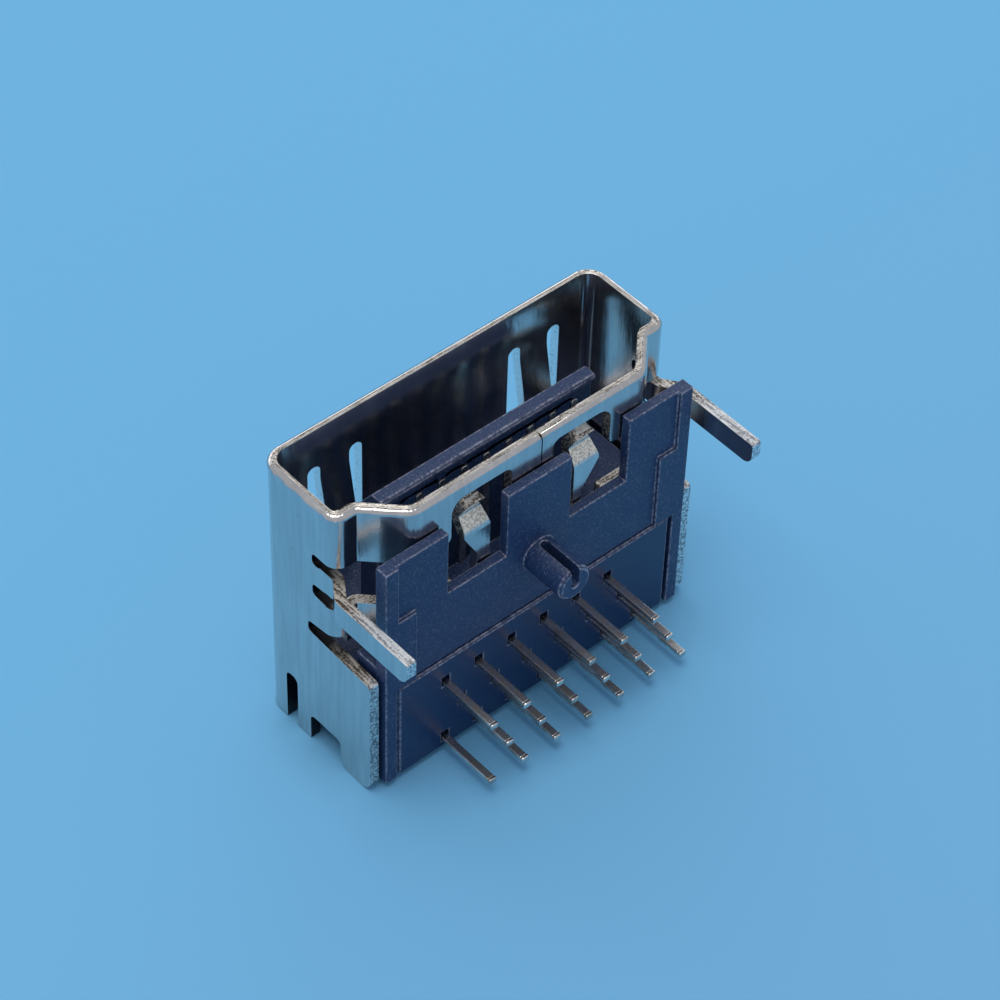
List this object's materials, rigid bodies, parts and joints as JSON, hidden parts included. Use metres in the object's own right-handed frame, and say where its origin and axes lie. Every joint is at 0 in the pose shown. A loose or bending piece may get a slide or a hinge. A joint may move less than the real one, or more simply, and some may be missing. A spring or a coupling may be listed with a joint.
{
  "type": "vertical board socket",
  "caption": "Vertical board-mount digital video socket: folded nickel-plated shell, dark plastic housing with a centre tongue, slotted locating peg, two board legs and rows of contact tails.",
  "frame": {"origin": "centre of the bounding box in X and Y, at the rear face of the shell's folded flap", "axes": "+Z towards the mouth, +X along the width, -Y towards the circuit board, where the peg, legs and tails point"},
  "size_m": [0.016, 0.0086, 0.0122],
  "materials": {
    "shell_metal": "bright nickel plating",
    "housing_plastic": "fine grained moulding",
    "spacer_plastic": "smooth moulding",
    "contact_metal": "tin plating"
  },
  "bodies": {
    "root": {"shell": "shell_metal", "housing": "housing_plastic", "tail_spacer": "spacer_plastic", "contact_01": "contact_metal", "contact_02": "contact_metal", "contact_03": "contact_metal", "contact_04": "contact_metal", "contact_05": "contact_metal", "contact_06": "contact_metal", "contact_07": "contact_metal", "contact_08": "contact_metal", "contact_09": "contact_metal", "contact_10": "contact_metal", "contact_11": "contact_metal", "contact_12": "contact_metal", "contact_13": "contact_metal", "contact_14": "contact_metal", "contact_15": "contact_metal", "contact_16": "contact_metal", "contact_17": "contact_metal", "contact_18": "contact_metal", "contact_19": "contact_metal"}
  },
  "joints": []
}
